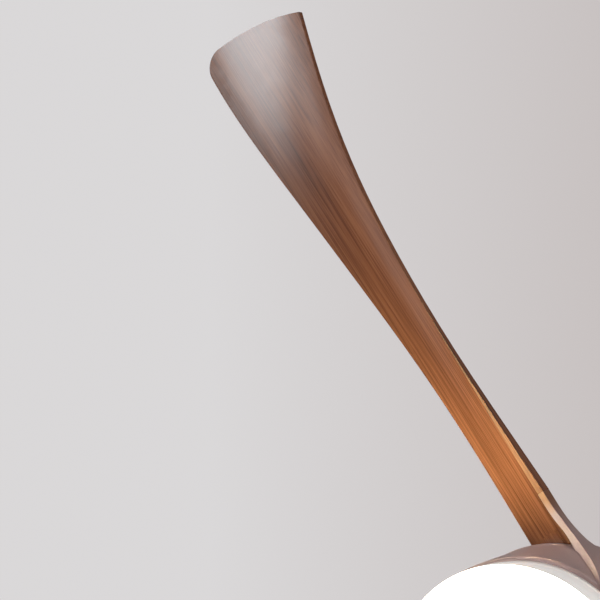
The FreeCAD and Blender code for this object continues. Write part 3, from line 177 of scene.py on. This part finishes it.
class Nodes:
    """Small helper that adds and links shader nodes in one material or world."""

    def __init__(self, tree):
        self.tree = tree
        self.tree.nodes.clear()

    def add(self, kind, **settings):
        node = self.tree.nodes.new(kind)
        for key, value in settings.items():
            setattr(node, key, value)
        return node

    def join(self, source, target):
        self.tree.links.new(source, target)

    def object_place(self):
        return self.add("ShaderNodeTexCoord").outputs["Object"]

    def stretched(self, vector, stretch):
        node = self.add("ShaderNodeMapping")
        node.inputs["Scale"].default_value = stretch
        self.join(vector, node.inputs["Vector"])
        return node.outputs["Vector"]

    def noise(self, vector, scale, detail=4.0, roughness=0.55):
        node = self.add("ShaderNodeTexNoise")
        node.inputs["Scale"].default_value = scale
        node.inputs["Detail"].default_value = detail
        node.inputs["Roughness"].default_value = roughness
        self.join(vector, node.inputs["Vector"])
        return node.outputs["Fac"]

    def ramp(self, factor, stops):
        node = self.add("ShaderNodeValToRGB")
        ramp = node.color_ramp
        while len(ramp.elements) < len(stops):
            ramp.elements.new(0.5)
        for element, (place, colour) in zip(ramp.elements, stops):
            element.position = place
            element.color = opaque(colour)
        self.join(factor, node.inputs["Fac"])
        return node.outputs["Color"]

    def two_tones(self, noise, dark, light):
        return self.ramp(noise, ((NOISE_LOW, dark), (NOISE_HIGH, light)))

    def span(self, value, from_low, from_high, to_low, to_high):
        node = self.add("ShaderNodeMapRange")
        node.inputs["From Min"].default_value = from_low
        node.inputs["From Max"].default_value = from_high
        node.inputs["To Min"].default_value = to_low
        node.inputs["To Max"].default_value = to_high
        self.join(value, node.inputs["Value"])
        return node.outputs["Result"]

    def seen_directly(self, path):
        """One for camera rays, and for rays that have come through glass."""
        seen = self.add("ShaderNodeMath", operation="MAXIMUM")
        self.join(path.outputs["Is Camera Ray"], seen.inputs[0])
        self.join(path.outputs["Is Transmission Ray"], seen.inputs[1])
        return seen.outputs["Value"]


def new_material(name):
    material = bpy.data.materials.new(name)
    material.use_nodes = True
    nodes = Nodes(material.node_tree)
    shader = nodes.add("ShaderNodeBsdfPrincipled")
    output = nodes.add("ShaderNodeOutputMaterial")
    nodes.join(shader.outputs["BSDF"], output.inputs["Surface"])
    return material, nodes, shader


def grained(name, dark, light, scale, rough, metallic=0.0):
    """Material with a fine two-tone grain in colour and gloss."""
    material, nodes, shader = new_material(name)
    grain = nodes.noise(nodes.object_place(), scale)
    nodes.join(nodes.two_tones(grain, dark, light), shader.inputs["Base Color"])
    smoothest, roughest = rough * (1.0 - ROUGH_VARIES), rough * (1.0 + ROUGH_VARIES)
    nodes.join(nodes.span(grain, NOISE_LOW, NOISE_HIGH, smoothest, roughest), shader.inputs["Roughness"])
    shader.inputs["Metallic"].default_value = metallic
    return material


def lamp_chip():
    """Yellow chip of the lamp, glowing a little."""
    material = grained("lamp_chip", **CHIP_LOOK)
    shader = material.node_tree.nodes["Principled BSDF"]
    shader.inputs["Emission Color"].default_value = opaque(CHIP_GLOW_COLOUR)
    shader.inputs["Emission Strength"].default_value = CHIP_GLOW
    return material


def wood(index):
    """Reddish-brown wood with its grain along one blade: bands, fine grain and dark pores."""
    material, nodes, shader = new_material("walnut_%d" % index)
    turn = nodes.add("ShaderNodeMapping")
    turn.inputs["Rotation"].default_value = (0.0, 0.0, -BLADE_STEP * index)
    nodes.join(nodes.object_place(), turn.inputs["Vector"])
    along = turn.outputs["Vector"]
    grain = nodes.noise(nodes.stretched(along, GRAIN_STRETCH), **GRAIN_NOISE)
    bands = nodes.noise(nodes.stretched(along, BAND_STRETCH), **BAND_NOISE)
    pores = nodes.noise(nodes.stretched(along, PORE_STRETCH), **PORE_NOISE)
    figure = nodes.add("ShaderNodeMix", data_type="FLOAT")
    figure.inputs["Factor"].default_value = BAND_SHARE
    nodes.join(grain, figure.inputs[VALUE_A])
    nodes.join(bands, figure.inputs[VALUE_B])
    lines = nodes.add("ShaderNodeMix", data_type="RGBA", blend_type="MULTIPLY")
    lines.inputs["Factor"].default_value = 1.0
    nodes.join(nodes.ramp(figure.outputs[VALUE_RESULT], WOOD_TONES), lines.inputs[COLOUR_A])
    nodes.join(nodes.ramp(pores, PORE_TONES), lines.inputs[COLOUR_B])
    nodes.join(lines.outputs[COLOUR_RESULT], shader.inputs["Base Color"])
    nodes.join(nodes.span(grain, NOISE_LOW, NOISE_HIGH, *WOOD_ROUGH), shader.inputs["Roughness"])
    shader.inputs["Specular IOR Level"].default_value = WOOD_SPECULAR
    return material


def hub_paint():
    """Brown hub paint that warms to the wood's tone out on the ridges, where they meet the blades."""
    material, nodes, shader = new_material("hub_paint")
    place = nodes.object_place()
    grain = nodes.noise(place, PAINT_SCALE)
    flat = nodes.add("ShaderNodeVectorMath", operation="MULTIPLY")
    nodes.join(place, flat.inputs[0])
    flat.inputs[1].default_value = (1.0, 1.0, 0.0)
    radius = nodes.add("ShaderNodeVectorMath", operation="LENGTH")
    nodes.join(flat.outputs["Vector"], radius.inputs[0])
    warmth = nodes.span(radius.outputs["Value"], WARM_FROM_R, WARM_FULL_R, 0.0, 1.0)
    blend = nodes.add("ShaderNodeMix", data_type="RGBA")
    nodes.join(warmth, blend.inputs["Factor"])
    nodes.join(nodes.two_tones(grain, PAINT_DARK, PAINT_LIGHT), blend.inputs[COLOUR_A])
    blend.inputs[COLOUR_B].default_value = opaque(WARM_PAINT)
    nodes.join(blend.outputs[COLOUR_RESULT], shader.inputs["Base Color"])
    nodes.join(nodes.span(grain, NOISE_LOW, NOISE_HIGH, *PAINT_ROUGH), shader.inputs["Roughness"])
    return material


def opal_glass():
    """Lit opal glass: a bright bowl, and a neck above it that only glows."""
    material, nodes, shader = new_material("opal_glass")
    place = nodes.object_place()
    mottle = nodes.noise(place, GLASS_SCALE)
    nodes.join(nodes.two_tones(mottle, GLASS_DARK, GLASS_LIGHT), shader.inputs["Base Color"])
    shader.inputs["Roughness"].default_value = GLASS_ROUGH
    split = nodes.add("ShaderNodeSeparateXYZ")
    nodes.join(place, split.inputs["Vector"])
    neck = nodes.span(split.outputs["Z"], LIT_EDGE_Z - LIT_EDGE_SOFT, LIT_EDGE_Z, 0.0, 1.0)
    nodes.join(nodes.ramp(neck, ((0.0, LAMP_COLOUR), (1.0, NECK_COLOUR))), shader.inputs["Emission Color"])
    nodes.join(nodes.span(neck, 0.0, 1.0, LAMP_GLOW, NECK_GLOW), shader.inputs["Emission Strength"])
    return material


def dress_nodes():
    """Give every node the material of its slot, and each blade wood with its own run of grain."""
    materials = {slot: grained(slot, **look) for slot, look in PLAIN_LOOKS.items()}
    materials.update(hub_paint=hub_paint(), opal_glass=opal_glass(), lamp=lamp_chip())
    woods = {"blade_%d" % (index + 1): wood(index) for index in range(BLADE_COUNT)}
    slots = {entry["node"]: entry["material_slot"] for entry in frame["record"]["subparts"]}
    for name, node in frame["nodes"].items():
        material = woods[name] if name in woods else materials[slots[name]]
        node.data.materials.clear()
        node.data.materials.append(material)


def make_floor():
    bpy.ops.mesh.primitive_plane_add(size=FLOOR_HALF * 2.0, location=(0.0, 0.0, FLOOR_Z))
    floor = bpy.context.object
    floor.name = "floor"
    material, nodes, shader = new_material("floor")
    mottle = nodes.noise(nodes.object_place(), FLOOR_SCALE)
    nodes.join(nodes.two_tones(mottle, FLOOR_DARK, FLOOR_LIGHT), shader.inputs["Base Color"])
    shader.inputs["Roughness"].default_value = FLOOR_ROUGH
    shader.inputs["Emission Color"].default_value = opaque(FLOOR_LIGHT)
    seen = nodes.seen_directly(nodes.add("ShaderNodeLightPath"))
    nodes.join(nodes.span(seen, 0.0, 1.0, 0.0, FLOOR_LIFT), shader.inputs["Emission Strength"])
    floor.data.materials.append(material)


def make_world():
    """Pale wall where it is seen directly, dimmed in reflections, and soft light for the rest."""
    world = bpy.data.worlds.new("studio")
    world.use_nodes = True
    bpy.context.scene.world = world
    nodes = Nodes(world.node_tree)
    place = nodes.add("ShaderNodeTexCoord")
    across = nodes.add("ShaderNodeVectorMath", operation="DOT_PRODUCT")
    nodes.join(place.outputs["Generated"], across.inputs[0])
    across.inputs[1].default_value = CAMERA_RIGHT
    side = nodes.span(across.outputs["Value"], -WALL_HALF_ANGLE, WALL_HALF_ANGLE, 0.0, 1.0)
    wall = nodes.ramp(side, ((SHADE_FROM_SHARE, WALL_LIGHT), (1.0, WALL_SHADE)))
    plain = nodes.add("ShaderNodeBackground")
    nodes.join(wall, plain.inputs["Color"])
    dimmed = nodes.add("ShaderNodeBackground")
    nodes.join(wall, dimmed.inputs["Color"])
    dimmed.inputs["Strength"].default_value = MIRRORED_WALL_STRENGTH
    soft = nodes.add("ShaderNodeBackground")
    soft.inputs["Color"].default_value = opaque(AMBIENT)
    soft.inputs["Strength"].default_value = AMBIENT_STRENGTH
    path = nodes.add("ShaderNodeLightPath")
    unseen = nodes.add("ShaderNodeMixShader")
    nodes.join(path.outputs["Is Glossy Ray"], unseen.inputs["Fac"])
    nodes.join(soft.outputs["Background"], unseen.inputs[1])
    nodes.join(dimmed.outputs["Background"], unseen.inputs[2])
    whole = nodes.add("ShaderNodeMixShader")
    nodes.join(nodes.seen_directly(path), whole.inputs["Fac"])
    nodes.join(unseen.outputs["Shader"], whole.inputs[1])
    nodes.join(plain.outputs["Background"], whole.inputs[2])
    output = nodes.add("ShaderNodeOutputWorld")
    nodes.join(whole.outputs["Shader"], output.inputs["Surface"])


def make_area_light(name, place, aim, size, power, colour=WHITE, spread=FULL_SPREAD, shine=True, roll=0.0):
    """Soft oval light: shine says whether glossy faces show it, and roll turns it about its own beam."""
    data = bpy.data.lights.new(name, "AREA")
    data.shape = "ELLIPSE"
    data.size, data.size_y = size
    data.energy = power
    data.color = colour
    data.spread = math.radians(spread)
    light = bpy.data.objects.new(name, data)
    bpy.context.scene.collection.objects.link(light)
    light.location = RIM_CENTRE + Vector(place)
    light.visible_camera = False
    light.visible_glossy = shine
    light.rotation_mode = "QUATERNION"
    facing = (Vector(aim) - Vector(place)).to_track_quat("-Z", "Y")
    light.rotation_quaternion = facing @ Quaternion((0.0, 0.0, 1.0), math.radians(roll))


def make_lights():
    for name, settings in LIGHTS.items():
        make_area_light(name, **settings)
    for index in range(BLADE_COUNT):
        turn = Matrix.Rotation(BLADE_STEP * index + SPILL_TURN, 3, "Z")
        place = turn @ Vector((SPILL_R, 0.0, -SPILL_DROP))
        above = (place.x, place.y, 0.0)
        make_area_light("lamp_spill_%d" % (index + 1), place, above, (SPILL_SIZE, SPILL_SIZE),
                        SPILL_POWER, SPILL_COLOUR, SPILL_SPREAD, shine=False)


def make_camera():
    data = bpy.data.cameras.new("camera")
    data.lens = CAMERA_LENS
    data.sensor_width = SENSOR_WIDTH
    camera = bpy.data.objects.new("camera", data)
    bpy.context.scene.collection.objects.link(camera)
    back = CAMERA_BACK.normalized()
    right = (CAMERA_RIGHT - back * CAMERA_RIGHT.dot(back)).normalized()
    up = back.cross(right)
    turn = Matrix((right, up, back)).transposed()
    camera.matrix_world = Matrix.Translation(RIM_CENTRE + CAMERA_OFFSET) @ turn.to_4x4()
    bpy.context.scene.camera = camera


dress_nodes()
make_floor()
make_world()
make_lights()
make_camera()
bpy.context.scene.view_settings.view_transform = "Standard"
